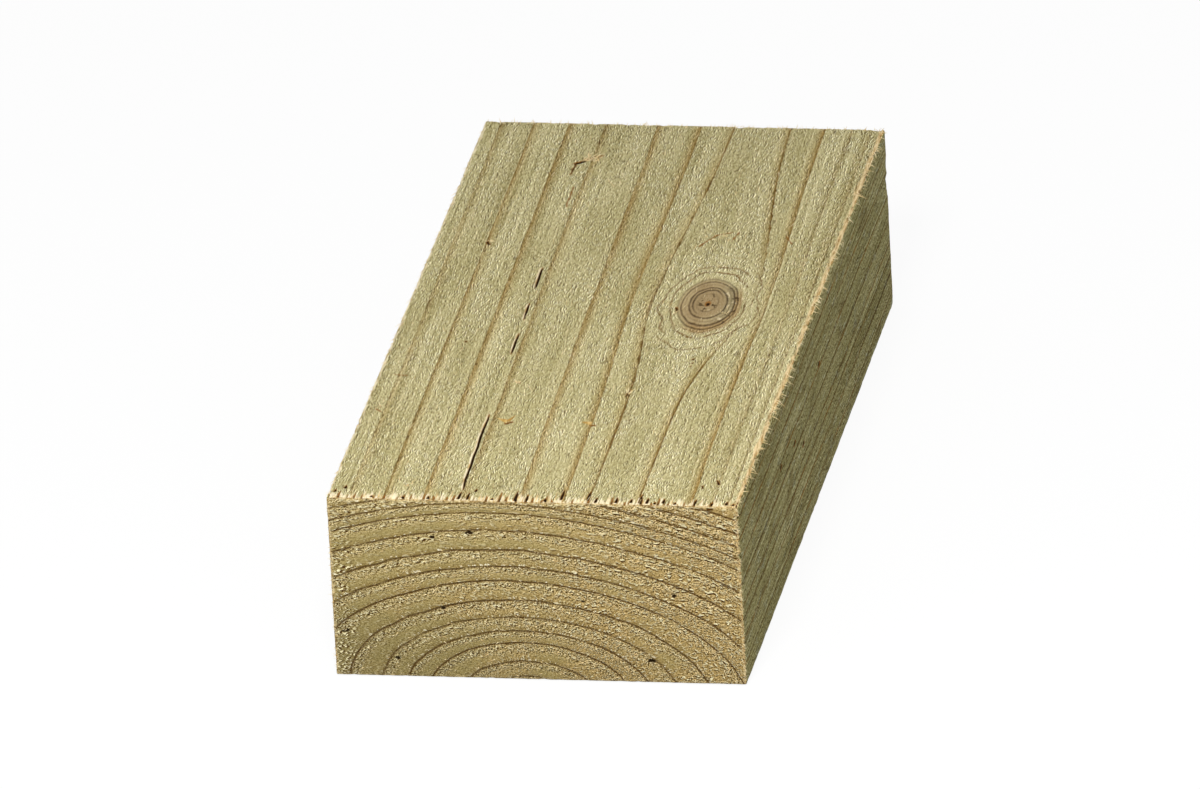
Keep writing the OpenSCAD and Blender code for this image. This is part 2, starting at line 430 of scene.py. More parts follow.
class Finish:
    """The nodes of one material or of the world, with a short name for each kind of work they do."""

    def __init__(self, owner):
        owner.use_nodes = True
        self.owner = owner
        self.tree = owner.node_tree

    def node(self, kind, inputs, **settings):
        made = self.tree.nodes.new("ShaderNode" + kind)
        for name, value in settings.items():
            setattr(made, name, value)
        for key, value in inputs.items():
            self.feed(made.inputs[key], value)
        return made

    def feed(self, socket, value):
        if isinstance(value, bpy.types.NodeSocket):
            self.tree.links.new(value, socket)
        else:
            socket.default_value = value

    def kept(self, name):
        return self.node("Attribute", {}, attribute_name=name).outputs["Fac"]

    def maths(self, operation, first, second=0.0):
        return self.node("Math", {0: first, 1: second}, operation=operation).outputs[0]

    def times(self, *values):
        """The product of all the values."""
        product = values[0]
        for value in values[1:]:
            product = self.maths("MULTIPLY", product, value)
        return product

    def step(self, value, start, stop):
        """0 at start and 1 at stop, with a smooth rise between them."""
        inputs = {"Value": value, "From Min": start, "From Max": stop}
        return self.node("MapRange", inputs, interpolation_type="SMOOTHSTEP").outputs[0]

    def level(self, value, start, stop, low, high):
        """An even change from low to high as the value goes from start to stop."""
        inputs = {"Value": value, "From Min": start, "From Max": stop, "To Min": low, "To Max": high}
        return self.node("MapRange", inputs).outputs[0]

    def place(self, x, y, z=0.0):
        return self.node("CombineXYZ", {0: x, 1: y, 2: z}).outputs[0]

    def noise(self, vector, scale, shift, detail=2.0, distortion=0.0):
        """Noise from 0 to 1, with that many waves a mm each way."""
        inputs = {0: vector, 1: scale, 2: (shift, shift, shift)}
        scaled = self.node("VectorMath", inputs, operation="MULTIPLY_ADD").outputs[0]
        inputs = {"Vector": scaled, "Scale": 1.0, "Detail": detail, "Distortion": distortion}
        return self.node("TexNoise", inputs).outputs[0]

    def wrinkles(self, vector, scale, shift, curl):
        """Thin winding lines: 1 on a line, falling to 0 beside it."""
        winding = self.noise(vector, scale, shift, 1.0, curl)
        return self.step(self.maths("ABSOLUTE", self.maths("SUBTRACT", winding, 0.5)), 0.16, 0.04)

    def mix(self, amount, under, over, blend="MIX"):
        inputs = {0: amount, 6: under, 7: over}
        return self.node("Mix", inputs, data_type="RGBA", blend_type=blend).outputs[2]

    def lay(self, colour, tone, *amounts):
        """The colour with that tone over it, by the product of the amounts."""
        return self.mix(self.times(*amounts), colour, tone)

    def swing(self, value, *reach):
        """How far a noise value lies from its mean, times every reach."""
        return self.times(self.maths("SUBTRACT", value, 0.5), *reach)

    def tint(self, colour, change):
        """Lightens or darkens wood by that share: least in its red and most in its blue."""
        amount = self.maths("MAXIMUM", self.maths("ADD", change, 1.0), 0.15)
        by_part = self.place(amount, self.maths("POWER", amount, 1.1), self.maths("POWER", amount, 1.5))
        return self.mix(1.0, colour, by_part, "MULTIPLY")

    def relief(self, *layers):
        """Height in mm: each layer's value times how far it stands out."""
        heights = [self.maths("MULTIPLY", value, stands_out) for value, stands_out in layers]
        total = heights[0]
        for height in heights[1:]:
            total = self.maths("ADD", total, height)
        return total

    def seen(self):
        """1 where the camera sees it, straight or in a mirror or glass, and 0 for the light it throws."""
        rays = self.node("LightPath", {}).outputs
        indirectly = self.maths("MAXIMUM", rays["Is Glossy Ray"], rays["Is Transmission Ray"])
        return self.maths("MAXIMUM", rays["Is Camera Ray"], indirectly)

    def finish(self, colour, height, roughness):
        shader = self.tree.nodes["Principled BSDF"]
        self.feed(shader.inputs["Base Color"], colour)
        self.feed(shader.inputs["Roughness"], roughness)
        shader.inputs["Specular IOR Level"].default_value = WOOD_SPECULAR
        bump = self.node("Bump", {"Height": height, "Distance": MM, "Strength": 1.0})
        self.feed(shader.inputs["Normal"], bump.outputs[0])
        return self.owner


def growth_rings(wood, grain, wander_scale, wander_reach):
    """Distances in mm past the last ring line and to the next one, the ring's number and its vigour."""
    gap = wood.kept("ring_gap")
    wander = wood.level(wood.noise(grain, wander_scale, 7.0), 0.0, 1.0, -wander_reach, wander_reach)
    ring_here = wood.maths("ADD", wood.kept("ring"), wood.maths("DIVIDE", wander, gap))
    past_line = wood.maths("MULTIPLY", wood.maths("FRACT", ring_here), gap)
    to_line = wood.maths("SUBTRACT", gap, past_line)
    number = wood.maths("FLOOR", ring_here)
    vigour = wood.node("TexWhiteNoise", {"W": number}, noise_dimensions="1D").outputs["Value"]
    return past_line, to_line, number, vigour


def frayed_arris(wood, spot, waves):
    """The streaks of the frayed wood along the arrises, and how much of that wood shows."""
    streaks = wood.noise(spot, waves, 29.0)
    return streaks, wood.maths("ADD", wood.kept("fringe"), wood.level(streaks, 0.0, 1.0, -0.7, 0.6))


# Dark arcs in and round the knot, on its far left and near right sides: radius in knot sizes, and darkness.
KNOT_ARCS_FAR = ((0.36, 0.25), (0.5, 1.0), (0.61, 0.9), (0.74, 0.25), (0.87, 0.8), (0.99, 0.5), (1.27, 1.0),
                 (1.52, 0.9))
KNOT_ARCS_NEAR = ((0.33, 0.45), (0.62, 1.0), (0.76, 0.35), (0.88, 1.0), (0.99, 0.9), (1.12, 0.5), (1.32, 1.0),
                  (1.72, 0.8))
KNOT_ARC_HALF_WIDTH = 0.05
KNOT_DARK = shade(52, 32, 12)
KNOT_CONTOUR = shade(118, 84, 36)


def knot_arcs(wood, radius, arcs):
    """Darkness of thin arcs at those radii."""
    ramp = wood.node("ValToRGB", {"Fac": wood.maths("MULTIPLY", radius, 0.5)})
    stops = ramp.color_ramp.elements
    stops.remove(stops[1])
    stops[0].color = (0.0, 0.0, 0.0, 1.0)
    for arc, darkness in arcs:
        for side, amount in ((-1, 0.0), (0, darkness), (1, 0.0)):
            stop = stops.new((arc + side * KNOT_ARC_HALF_WIDTH) / 2)
            stop.color = (amount, amount, amount, 1.0)
    return ramp.outputs[0]


def add_knot(wood, colour):
    """The knot over the plain face: a brown-grey heart, a tan ring, broken dark arcs and a pale halo."""
    spot = wood.node("SeparateXYZ", {0: wood.node("TexCoord", {}).outputs["Object"]}).outputs
    middle = stud_low + Vector((KNOT_OFFSET, KNOT_FROM_END, 0.0)) * MM
    half_width, half_length = KNOT_HALF_WIDTH * MM, KNOT_HALF_LENGTH * MM
    rightward = wood.level(spot[0], middle.x - 2 * half_width, middle.x + 2 * half_width, -2.0, 2.0)
    farward = wood.level(spot[1], middle.y - 2 * half_length, middle.y + 2 * half_length, -2.0, 2.0)
    about = wood.place(rightward, farward)
    lumps = wood.noise(about, (1.0, 1.0, 1.0), 41.0, 4.0)
    lumpy = wood.level(wood.kept("knot"), 1.0, 1.6, 0.26, 0.75)
    radius = wood.maths("ADD", wood.kept("knot"), wood.swing(lumps, lumpy))
    grit = wood.noise(about, (6.0, 6.0, 1.0), 43.0, 3.0)
    patchy = wood.noise(about, (1.6, 1.6, 1.0), 47.0)

    halo = wood.level(rightward, -1.0, 1.0, 0.4, 0.8)
    colour = wood.lay(colour, shade(204, 193, 146), wood.step(radius, 2.6, 1.1), halo)
    heart = wood.mix(wood.step(patchy, 0.35, 0.65), shade(158, 133, 94), shade(178, 156, 114))
    heart = wood.lay(heart, shade(150, 138, 102), wood.step(rightward, 0.0, 0.8), 0.7)
    heart = wood.lay(heart, shade(154, 130, 92), wood.step(radius, 0.64, 0.5), 0.8)
    colour = wood.lay(colour, heart, wood.step(radius, 1.1, 0.86), 0.92)
    rust = wood.times(wood.step(radius, 0.8, 0.98), wood.step(radius, 1.3, 1.04),
                      wood.step(wood.maths("SUBTRACT", rightward, farward), -0.2, 0.9))
    colour = wood.lay(colour, shade(156, 114, 60), rust, 0.6)
    far_left = wood.step(wood.maths("SUBTRACT", farward, rightward), -0.5, 0.5)
    arcs_near = wood.times(knot_arcs(wood, radius, KNOT_ARCS_NEAR), wood.maths("SUBTRACT", 1.0, far_left))
    arcs = wood.maths("ADD", arcs_near, wood.times(knot_arcs(wood, radius, KNOT_ARCS_FAR), far_left))
    inside = wood.step(radius, 1.0, 0.9)
    broken = wood.step(wood.noise(about, (2.2, 1.6, 1.0), 59.0), 0.28, 0.46)
    whole = wood.maths("MAXIMUM", wood.step(radius, 1.4, 1.2), broken)
    arcs = wood.times(arcs, wood.step(patchy, 0.15, 0.4), wood.level(grit, 0.35, 0.6, 0.7, 1.0), whole)
    glint = wood.times(wood.step(grit, 0.58, 0.66), inside, wood.step(rightward, -0.2, 0.6))
    colour = wood.lay(colour, shade(226, 208, 166), glint, 0.7)
    by_rim = wood.times(wood.step(radius, 0.7, 0.86), wood.step(rightward, 0.2, 0.7))
    cracked = wood.maths("MAXIMUM", wood.step(radius, 0.42, 0.3), by_rim)
    specks = wood.times(wood.step(grit, 0.44, 0.38), cracked, wood.step(radius, 1.1, 1.0))
    colour = wood.lay(colour, shade(62, 44, 24), specks, 0.8)
    plain = wood.level(wood.step(radius, 1.15, 0.95), 0.0, 1.0, 1.0, 0.25)
    return colour, arcs, plain


# The fibre of a sawn surface: waves a mm each way, how much it curls, its lean, and how strongly its painted
# lit and shaded sides and the fuzz over it show.
FACE_FIBRE = ((1.6, 0.45, 1.0), 0.9, 0.02, 1.2, 1.6)
EDGE_FIBRE = ((1.3, 0.26, 1.0), 0.6, 0.06, 0.9, 2.8)
FIBRE_LIT_SIDE = 0.2
# The stripes show least round this offset. Within so far of the right edge the frayed wood turns tawny.
STRIPES_MIDDLE = 56.0
TAWNY_FROM = 4.0
TAWNY_WHOLE = 2.5


def sawn_face(name, pale, deep, band, line, band_width, line_width, stripe_reach, fibre_look, knotted):
    """Wood sawn along the grain: growth-ring streaks, stripes, fibre, torn grooves and frayed arrises."""
    wood = Finish(bpy.data.materials.new(name))
    length = wood.kept("along_grain")
    across = wood.kept("across_grain")
    grain = wood.place(across, length)
    rings = wood.place(wood.kept("across_rings"), length)
    past_line, to_line, number, vigour = growth_rings(wood, rings, (0.06, 0.01, 1.0), 0.7)
    come_and_go = wood.noise(wood.place(number, length), (5.3, 0.025, 1.0), 2.0)
    strength = wood.times(wood.level(vigour, 0.0, 1.0, 0.75, 1.0), wood.step(come_and_go, 0.1, 0.45),
                          wood.kept("clear"))

    broad = wood.noise(grain, (0.14, 0.02, 1.0), 11.0, 3.0)
    colour = wood.mix(wood.step(broad, 0.3, 0.7), deep, pale)
    stripe = wood.noise(rings, (1.6, 0.008, 1.0), 19.0)
    sideward = wood.maths("ABSOLUTE", wood.maths("SUBTRACT", across, STRIPES_MIDDLE))
    stripy = wood.level(sideward, 18.0, 34.0, 0.6, 1.4)
    band_here = wood.times(wood.step(to_line, band_width, 0.2), strength)
    colour = wood.lay(colour, band, band_here, 0.7)
    beyond = wood.times(wood.step(past_line, 0.1, 0.4), wood.step(past_line, 1.3, 0.6), strength)
    colour = wood.lay(colour, pale, beyond, 0.6)
    thin = wood.kept("thin")
    line_starts = wood.level(thin, 0.0, 1.0, 1.6 * line_width, 0.5 * line_width)
    line_here = wood.maths("MAXIMUM", wood.step(to_line, line_starts, 0.25 * line_width),
                           wood.step(past_line, 0.16, 0.0))
    dashes = wood.noise(rings, (0.8, 0.06, 1.0), 37.0)
    line_here = wood.times(line_here, strength, wood.level(dashes, 0.3, 0.6, 0.45, 1.0))
    colour = wood.lay(colour, line, line_here, wood.level(thin, 0.0, 1.0, 0.7, 1.0))
    core = wood.times(wood.step(to_line, 0.4, 0.15), wood.step(thin, 0.3, 0.9), strength)
    colour = wood.lay(colour, shade(96, 64, 22), core, wood.level(dashes, 0.35, 0.55, 0.2, 0.9))
    # The other marks fade out over the knot. An edge has amber dashes, dark stains and a grey bloom instead.
    fading, arc_relief = (), ()
    if knotted:
        colour, arcs, plain = add_knot(wood, colour)
        fading, arc_relief = (plain,), ((arcs, -0.2),)
    else:
        amber = wood.times(line_here, wood.step(wood.noise(rings, (0.3, 0.05, 1.0), 93.0), 0.5, 0.62))
        colour = wood.lay(colour, shade(178, 124, 52), amber, 0.8)
        stain = wood.step(wood.noise(grain, (0.22, 0.05, 1.0), 91.0, 3.0), 0.56, 0.7)
        colour = wood.lay(colour, shade(112, 94, 46), stain, 0.5)
        bloom = wood.step(wood.noise(grain, (0.45, 0.15, 1.0), 87.0, 3.0), 0.54, 0.7)
        colour = wood.lay(colour, shade(176, 179, 146), bloom, 0.4)

    # The fibre lies in short winding ridges, each painted with a lit side and a shaded side, over a fine
    # fuzz.
    fibre_waves, fibre_curl, fibre_lean, fibre_reach, fuzz_reach = fibre_look
    leaning = wood.maths("SUBTRACT", across, wood.times(length, fibre_lean))
    here = wood.place(leaning, length)
    beside = wood.place(wood.maths("ADD", leaning, FIBRE_LIT_SIDE), length)
    ridge = wood.wrinkles(here, fibre_waves, 5.0, fibre_curl)
    fibre = wood.maths("SUBTRACT", wood.wrinkles(beside, fibre_waves, 5.0, fibre_curl), ridge)
    fuzz = wood.noise(here, (2.8, 1.0, 1.0), 6.0, 1.0, 0.7)
    patchy = wood.level(wood.noise(grain, (0.1, 0.03, 1.0), 71.0), 0.35, 0.65, 0.6, 1.3)
    short = wood.step(wood.noise(here, (0.9, 0.45, 1.0), 77.0), 0.36, 0.56)
    fibre = wood.times(fibre, short, patchy, *fading, fibre_reach)
    fibre = wood.maths("ADD", fibre, wood.swing(fuzz, *fading, fuzz_reach))
    colour = wood.tint(colour, wood.maths("ADD", fibre, wood.swing(stripe, stripy, *fading, stripe_reach)))
    dots = wood.step(wood.noise(rings, (1.2, 0.4, 1.0), 83.0, 1.0), 0.56, 0.64)
    colour = wood.lay(colour, shade(84, 58, 22), dots, wood.step(to_line, 0.5, 0.2), *fading, 0.75)
    if knotted:
        colour = wood.lay(colour, wood.mix(wood.step(plain, 0.4, 0.9), KNOT_DARK, KNOT_CONTOUR), arcs)
    specks = wood.noise(here, (1.2, 0.4, 1.0), 73.0, 1.0, 0.3)
    by_line = wood.maths("MAXIMUM", wood.step(to_line, 0.8, 0.4), wood.step(past_line, 0.5, 0.2))
    speck = wood.times(wood.step(specks, 0.66, 0.72), wood.level(by_line, 0.0, 1.0, 0.5, 1.0), *fading)
    colour = wood.lay(colour, shade(86, 62, 28), speck, 0.75)
    # Thin torn grooves along the grain, sunk a little and darkened with painted shade.
    worm = wood.noise(grain, (0.7, 0.11, 1.0), 15.0, 2.0, 0.6)
    off_worm = wood.maths("ABSOLUTE", wood.maths("SUBTRACT", worm, 0.5))
    fitful = wood.step(wood.noise(grain, (0.5, 0.2, 1.0), 25.0), 0.56, 0.66)
    groove = wood.times(wood.step(off_worm, 0.03, 0.005), fitful, *fading)
    colour = wood.lay(colour, shade(108, 88, 46), groove, 0.6)

    hollow_shade = wood.kept("hollow_shade")
    streaks, fringe = frayed_arris(wood, grain, (2.0, 0.22, 1.0))
    straw = wood.mix(wood.step(streaks, 0.36, 0.54), shade(208, 172, 112), shade(250, 236, 200))
    tawny = wood.mix(wood.step(streaks, 0.38, 0.58), shade(190, 150, 90), shade(238, 214, 164))
    straw = wood.lay(straw, tawny, wood.step(across, WIDTH - TAWNY_FROM, WIDTH - TAWNY_WHOLE))
    colour = wood.lay(colour, straw, wood.step(fringe, 0.1, 0.6), 0.9)
    # Painted shade in the hollows: brown at their rims and near black in their depths.
    colour = wood.lay(colour, shade(146, 100, 46), wood.step(hollow_shade, 0.05, 0.4), 0.9)
    colour = wood.lay(colour, shade(44, 28, 9), wood.step(hollow_shade, 0.45, 0.85))

    height = wood.relief((wood.times(ridge, *fading), -0.08), (wood.swing(fuzz, *fading), 0.15),
                         (groove, -0.2), (line_here, -0.1), *arc_relief)
    return wood.finish(colour, height, wood.level(fuzz, 0.3, 0.7, 0.95, 0.85))


FLECK_WAVES = (1.0, 2.0, 1.0)
SHRED_WAVES = (0.9, 1.2, 1.0)


def end_grain():
    """Wood cut across the grain: dark ring lines, with pale torn wood below each and smooth wood above."""
    wood = Finish(bpy.data.materials.new("end_grain"))
    across = wood.kept("across_grain")
    height_up = wood.kept("along_grain")
    face = wood.place(across, height_up)
    past_line, to_line, number, vigour = growth_rings(wood, face, (0.16, 0.16, 1.0), 0.4)
    broken = wood.noise(face, (0.22, 0.22, 1.0), 13.0, 3.0)
    strength = wood.times(wood.level(vigour, 0.0, 1.0, 0.7, 1.0), wood.step(broken, 0.2, 0.48))

    broad = wood.noise(face, (0.07, 0.07, 1.0), 17.0, 3.0)
    warm = wood.maths("ADD", wood.level(across, 10.0, 90.0, -0.2, 0.2), broad)
    tan = wood.mix(wood.step(warm, 0.35, 0.7), shade(178, 157, 102), shade(188, 160, 102))
    pale = wood.times(wood.step(to_line, 0.3, 0.7), wood.step(to_line, 3.0, 0.9))
    colour = wood.lay(tan, shade(194, 174, 120), pale, 0.4)
    smooth = wood.step(to_line, 1.3, 3.6)
    olive = wood.mix(wood.step(warm, 0.35, 0.7), shade(154, 139, 86), shade(172, 148, 92))
    colour = wood.lay(colour, olive, smooth, wood.level(warm, 0.35, 0.75, 0.65, 0.2))
    dusk = wood.step(past_line, 1.4, 0.1)
    colour = wood.lay(colour, shade(130, 104, 54), dusk, 0.5)
    grey = wood.times(wood.step(across, 55.0, 5.0), wood.step(height_up, 28.0, 4.0))
    colour = wood.lay(colour, shade(126, 116, 76), grey, 0.45)
    line_here = wood.maths("MAXIMUM", wood.step(to_line, 0.48, 0.16), wood.step(past_line, 0.2, 0.0))
    line_here = wood.times(line_here, strength)

    calm = wood.maths("ADD", smooth, wood.level(warm, 0.4, 0.75, 0.3, -0.4))
    rough = wood.level(calm, 0.1, 1.1, 1.0, 0.3)
    mottle = wood.noise(face, (2.8, 3.2, 1.0), 5.0, 1.0, 0.4)
    # Painted shade: the end grows darker towards the bottom and a little lighter towards the top.
    shade_by_height = wood.level(height_up, 0.0, THICKNESS, -0.1, 0.04)
    # Torn shreds, each painted with a lit side and a shaded side, over a fine mottle where the wood is rough.
    aside = wood.place(wood.maths("ADD", across, 0.22), wood.maths("SUBTRACT", height_up, 0.22))
    shred_light_and_shade = wood.wrinkles(face, SHRED_WAVES, 63.0, 0.9)
    shred_light_and_shade = wood.maths("SUBTRACT", shred_light_and_shade, wood.wrinkles(aside, SHRED_WAVES, 63.0, 0.9))
    torn = wood.step(wood.noise(face, (0.6, 0.7, 1.0), 67.0), 0.36, 0.56)
    change = wood.maths("ADD", wood.times(shred_light_and_shade, torn, rough), wood.swing(mottle, rough, 4.6))
    colour = wood.tint(colour, wood.maths("ADD", change, shade_by_height))

    around = wood.kept("round_rings")
    below = wood.maths("ADD", to_line, wood.times(number, 13.0))
    by_ring = wood.place(around, below)
    row = wood.times(wood.step(to_line, 0.5, 0.9), wood.step(to_line, 2.6, 1.6))
    ragged_side = wood.maths("MAXIMUM", wood.level(warm, 0.42, 0.7, 0.2, 0.9), wood.step(across, 9.0, 2.0))
    clump = wood.level(wood.noise(by_ring, (0.3, 0.6, 1.0), 57.0), 0.38, 0.6, 0.3, 1.4)
    row = wood.times(wood.maths("MAXIMUM", row, ragged_side), clump)
    fleck = wood.noise(by_ring, FLECK_WAVES, 31.0, 1.0, 0.6)
    cream = wood.times(wood.step(fleck, 0.56, 0.62), row)
    # Offset a little from each cream fleck, a dark pit that is also painted as the fleck's shadow.
    lee = wood.place(wood.maths("ADD", around, 0.32), wood.maths("SUBTRACT", below, 0.3))
    pit_and_fleck_shadow = wood.times(wood.step(wood.noise(lee, FLECK_WAVES, 31.0, 1.0, 0.6), 0.55, 0.61), row)
    colour = wood.lay(colour, shade(78, 48, 8), pit_and_fleck_shadow, 0.9)
    colour = wood.lay(colour, shade(255, 243, 194), cream, 0.95)
    dot = wood.times(wood.step(wood.noise(by_ring, (1.3, 1.3, 1.0), 53.0), 0.6, 0.66),
                     wood.step(past_line, 0.15, 0.3), wood.step(past_line, 0.8, 0.5))
    colour = wood.lay(colour, shade(255, 246, 214), dot, 0.9)
    colour = wood.lay(colour, shade(84, 54, 14), line_here, 0.92)
    # Painted shade in the pits.
    colour = wood.lay(colour, shade(48, 34, 14), wood.step(wood.kept("hollow_shade"), 0.15, 0.8))
    streaks, fringe = frayed_arris(wood, face, (1.1, 1.1, 1.0))
    straw = wood.mix(wood.step(streaks, 0.4, 0.6), shade(198, 156, 92), shade(240, 220, 168))
    colour = wood.lay(colour, straw, wood.step(fringe, 0.1, 0.65), 0.8)

    height = wood.relief((wood.swing(mottle, rough), 0.5), (cream, 0.15), (pit_and_fleck_shadow, -0.1), (line_here, -0.15))
    return wood.finish(colour, height, wood.level(mottle, 0.3, 0.7, 0.97, 0.88))


face_colours = shade(192, 181, 133), shade(177, 166, 116), shade(174, 150, 92), shade(136, 105, 46)
edge_colours = shade(178, 168, 113), shade(160, 151, 96), shade(146, 120, 56), shade(64, 46, 10)
stud_mesh.materials.append(sawn_face("sawn_face", *face_colours, 3.0, 1.1, 1.0, FACE_FIBRE, True))
stud_mesh.materials.append(end_grain())
stud_mesh.materials.append(sawn_face("sawn_edge", *edge_colours, 1.2, 0.5, 1.6, EDGE_FIBRE, False))
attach(stud_timber, "root")
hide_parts("stud")

# Frayed fibres: short cream slivers of the same wood that the saws lifted along the arrises, on the upper
# face and over the torn end grain. Each is still held at its root by the timber.
sliver = bmesh.new()
bmesh.ops.create_cone(sliver, cap_ends=True, segments=4, radius1=0.5, radius2=0.06, depth=1.0)
bmesh.ops.translate(sliver, vec=(0.0, 0.0, 0.5), verts=sliver.verts)
for height in (0.35, 0.7):
    whole = sliver.verts[:] + sliver.edges[:] + sliver.faces[:]
    bmesh.ops.bisect_plane(sliver, geom=whole, dist=1e-6, plane_co=(0.0, 0.0, height),
                           plane_no=(0.0, 0.0, 1.0))
sliver.verts.index_update()
SLIVER = np.array([v.co for v in sliver.verts])
SLIVER_FACES = [[v.index for v in f.verts] for f in sliver.faces]
sliver.free()
draw = np.random.default_rng(7)
between = draw.uniform


def unit(vectors):
    return vectors / np.linalg.norm(vectors, axis=1, keepdims=True)


def slivers(root, lean, length, width, curl):
    """Vertices of bent slivers: each starts at its root, points along its lean and curls towards curl."""
    ahead = unit(lean)
    side = unit(np.cross(ahead, np.array([0.31, 0.17, 0.93])))
    above = np.cross(side, ahead)
    s, t, h = SLIVER.T
    spot = root[:, None] + ahead[:, None] * (length[:, None] * h)[:, :, None]
    spot = spot + side[:, None] * (width[:, None] * s)[:, :, None]
    spot = spot + above[:, None] * (width[:, None] * 0.6 * t)[:, :, None]
    return spot + curl[:, None] * (h ** 2)[None, :, None]


def drawn(triple, count):
    """Points or directions, each part drawn evenly from its range."""
    return np.stack([between(*pair, count) for pair in triple], axis=1)


def cast(root, lean, length, width, curl):
    """Slivers from those roots, with every other quantity drawn evenly from its range."""
    count = len(root)
    leans = drawn(lean, count)
    lengths = between(*length, count)
    widths = between(*width, count)
    return slivers(root, leans, lengths, widths, drawn(curl, count))


TOP = THICKNESS - 0.12
near_roots = drawn(((0.3, 99.7), (0.3, 1.1), (TOP, TOP)), 420)
flame_roots = drawn(((0.5, 99.5), (0.3, 1.0), (TOP + 0.05, TOP + 0.05)), 260)


def on_teeth(roots):
    """Those of the roots that stand on a tooth of the comb and clear of the slots."""
    from_slots = np.abs(roots[:, :1] - [slot[0] for slot in END_SLOTS]).min(axis=1)
    return roots[(ripple(roots, (TOOTH, EVEN, EVEN), TOOTH_SHIFT) > 0.06) & (from_slots > 0.6)]


batches = [
    cast(on_teeth(near_roots), ((-0.06, 0.06), (-1, -1), (0.0, 0.1)),
         (0.6, 1.6), (0.14, 0.3), ((-0.15, 0.15), (-0.1, 0.1), (-0.35, 0.05))),
    cast(on_teeth(flame_roots), ((-0.05, 0.05), (1, 1), (0.0, 0.02)),
         (2.0, 6.5), (0.2, 0.45), ((-0.15, 0.15), (0.0, 0.0), (-0.12, 0.0))),
    cast(drawn(((98.5, 99.7), (1, 224), (TOP - 0.2, TOP)), 360), ((0.0, 1.0), (-1, -0.2), (-0.2, 0.2)),
         (0.5, 2.5), (0.2, 0.45), ((-0.2, 0.5), (-0.4, 0.4), (-0.6, 0.1))),
    cast(drawn(((0.3, 1.1), (1, 224), (TOP - 0.2, TOP)), 280), ((-0.5, -0.05), (-1, -0.6), (-0.1, 0.2)),
         (0.7, 2.2), (0.12, 0.28), ((-0.3, 0.1), (-0.2, 0.2), (-0.3, 0.1))),
    cast(drawn(((0.3, 99.7), (223.2, 224.7), (TOP, TOP)), 180), ((-0.4, 0.4), (0.5, 1), (0.0, 0.3)),
         (0.5, 1.5), (0.12, 0.26), ((-0.2, 0.2), (-0.1, 0.1), (-0.2, 0.2))),
    cast(drawn(((0.3, 1.0), (0.25, 0.4), (1, 46)), 130), ((-0.7, -0.2), (-0.8, -0.2), (-0.6, 0.6)),
         (0.5, 1.3), (0.14, 0.32), ((-0.2, 0.2), (-0.1, 0.2), (-0.3, 0.3))),
    cast(drawn(((98.9, 99.7), (0.25, 0.4), (1, 46)), 190), ((0.2, 0.7), (-0.8, -0.2), (-0.6, 0.6)),
         (0.5, 1.4), (0.14, 0.36), ((-0.2, 0.2), (-0.1, 0.2), (-0.3, 0.3))),
    cast(drawn(((0.5, 99.5), (0.25, 0.4), (0.4, 0.9)), 110), ((-0.8, 0.8), (-0.8, -0.2), (0.0, 0.3)),
         (0.5, 1.2), (0.12, 0.26), ((-0.2, 0.2), (-0.1, 0.1), (0.0, 0.2))),
]

# Curls and hairs on the upper face: where they stand, how many slivers and how far they spread, and how long.
CURLS = ((35.0, 69.0, 7, 0.8, 1.5), (18.8, 8.0, 7, 0.9, 1.2), (62.7, 65.0, 6, 0.6, 1.4),
         (66.3, 112.4, 5, 0.5, 1.0), (30.6, 203.4, 26, 1.7, 2.2), (13.5, 152.5, 6, 0.7, 1.4),
         (69.5, 158.0, 10, 3.0, 1.5), (3.8, 53.0, 6, 0.8, 1.4), (78.3, 112.6, 6, 0.9, 1.5))
for curl_offset, curl_along, count, spread, length in CURLS:
    patch_sides = (curl_offset - spread, curl_offset + spread), (curl_along - spread, curl_along + spread)
    batches.append(cast(drawn((*patch_sides, (TOP, TOP)), count), ((-1, 1), (-1, 1), (0.1, 0.5)),
                        (0.5 * length, length), (0.25, 0.5), ((-0.6, 0.6), (-0.6, 0.6), (-0.3, 0.1))))
# Each hair or golden chip: where it stands, how far it reaches to the right and away, and its width.
HAIRS = (((36.4, 191.0), (2.4, -5.0), 0.35), ((74.2, 188.5), (0.8, -4.0), 0.35),
         ((42.2, 127.0), (2.0, -2.4), 0.35), ((37.4, 68.0), (2.4, -5.6), 0.35),
         ((99.2, 38.0), (2.6, -2.0), 0.4), ((63.0, 63.6), (0.4, 3.0), 0.5))
CHIPS = (((36.2, 45.9), (-3.0, 1.8), 2.0), ((36.4, 46.2), (1.0, 3.4), 1.0), ((56.8, 45.8), (-2.8, 0.9), 2.0))
STRAND_RISE = 0.3
STRAND_CURL = np.array([[0.3, 0.0, -0.2]])


def strand(start, reach, width):
    """One sliver that starts on the upper face and reaches so far to the right and away."""
    root, lean = np.array([[*start, TOP]]), np.array([[*reach, STRAND_RISE]])
    return slivers(root, lean, np.array([math.hypot(*reach)]), np.array([width]), STRAND_CURL)


batches += [strand(*hair) for hair in HAIRS]

# Torn tufts over the end grain, laid along the ring lines, thickest a little below each and to the right.
SCATTER = 9000
spots = drawn(((1.0, 99.0), (0.15, 0.15), (1.0, 46.2)), SCATTER)
count_here, gap_here, angle_here = arc_rings(spots)
past_here = count_here % 1 * gap_here
to_here = gap_here - past_here
chance = np.where((to_here > 0.8) & (to_here < 2.4), 0.3, 0.06) * (0.6 + 0.5 * spots[:, 0] / WIDTH)
chance = np.where(past_here < 0.5, 0.15, chance)
chance = np.where(to_here < 0.5, 0, chance)
picked = between(0, 1, SCATTER) < chance
tufts, turned = spots[picked], angle_here[picked]
lay = np.stack([-np.sin(turned), np.zeros(len(turned)), FLATTEN * np.cos(turned)], axis=1)
lay = lay * draw.choice((-1.0, 1.0), len(turned))[:, None]
lay = lay + drawn(((-0.5, 0.5), (-0.6, -0.15), (-0.6, 0.6)), len(turned))
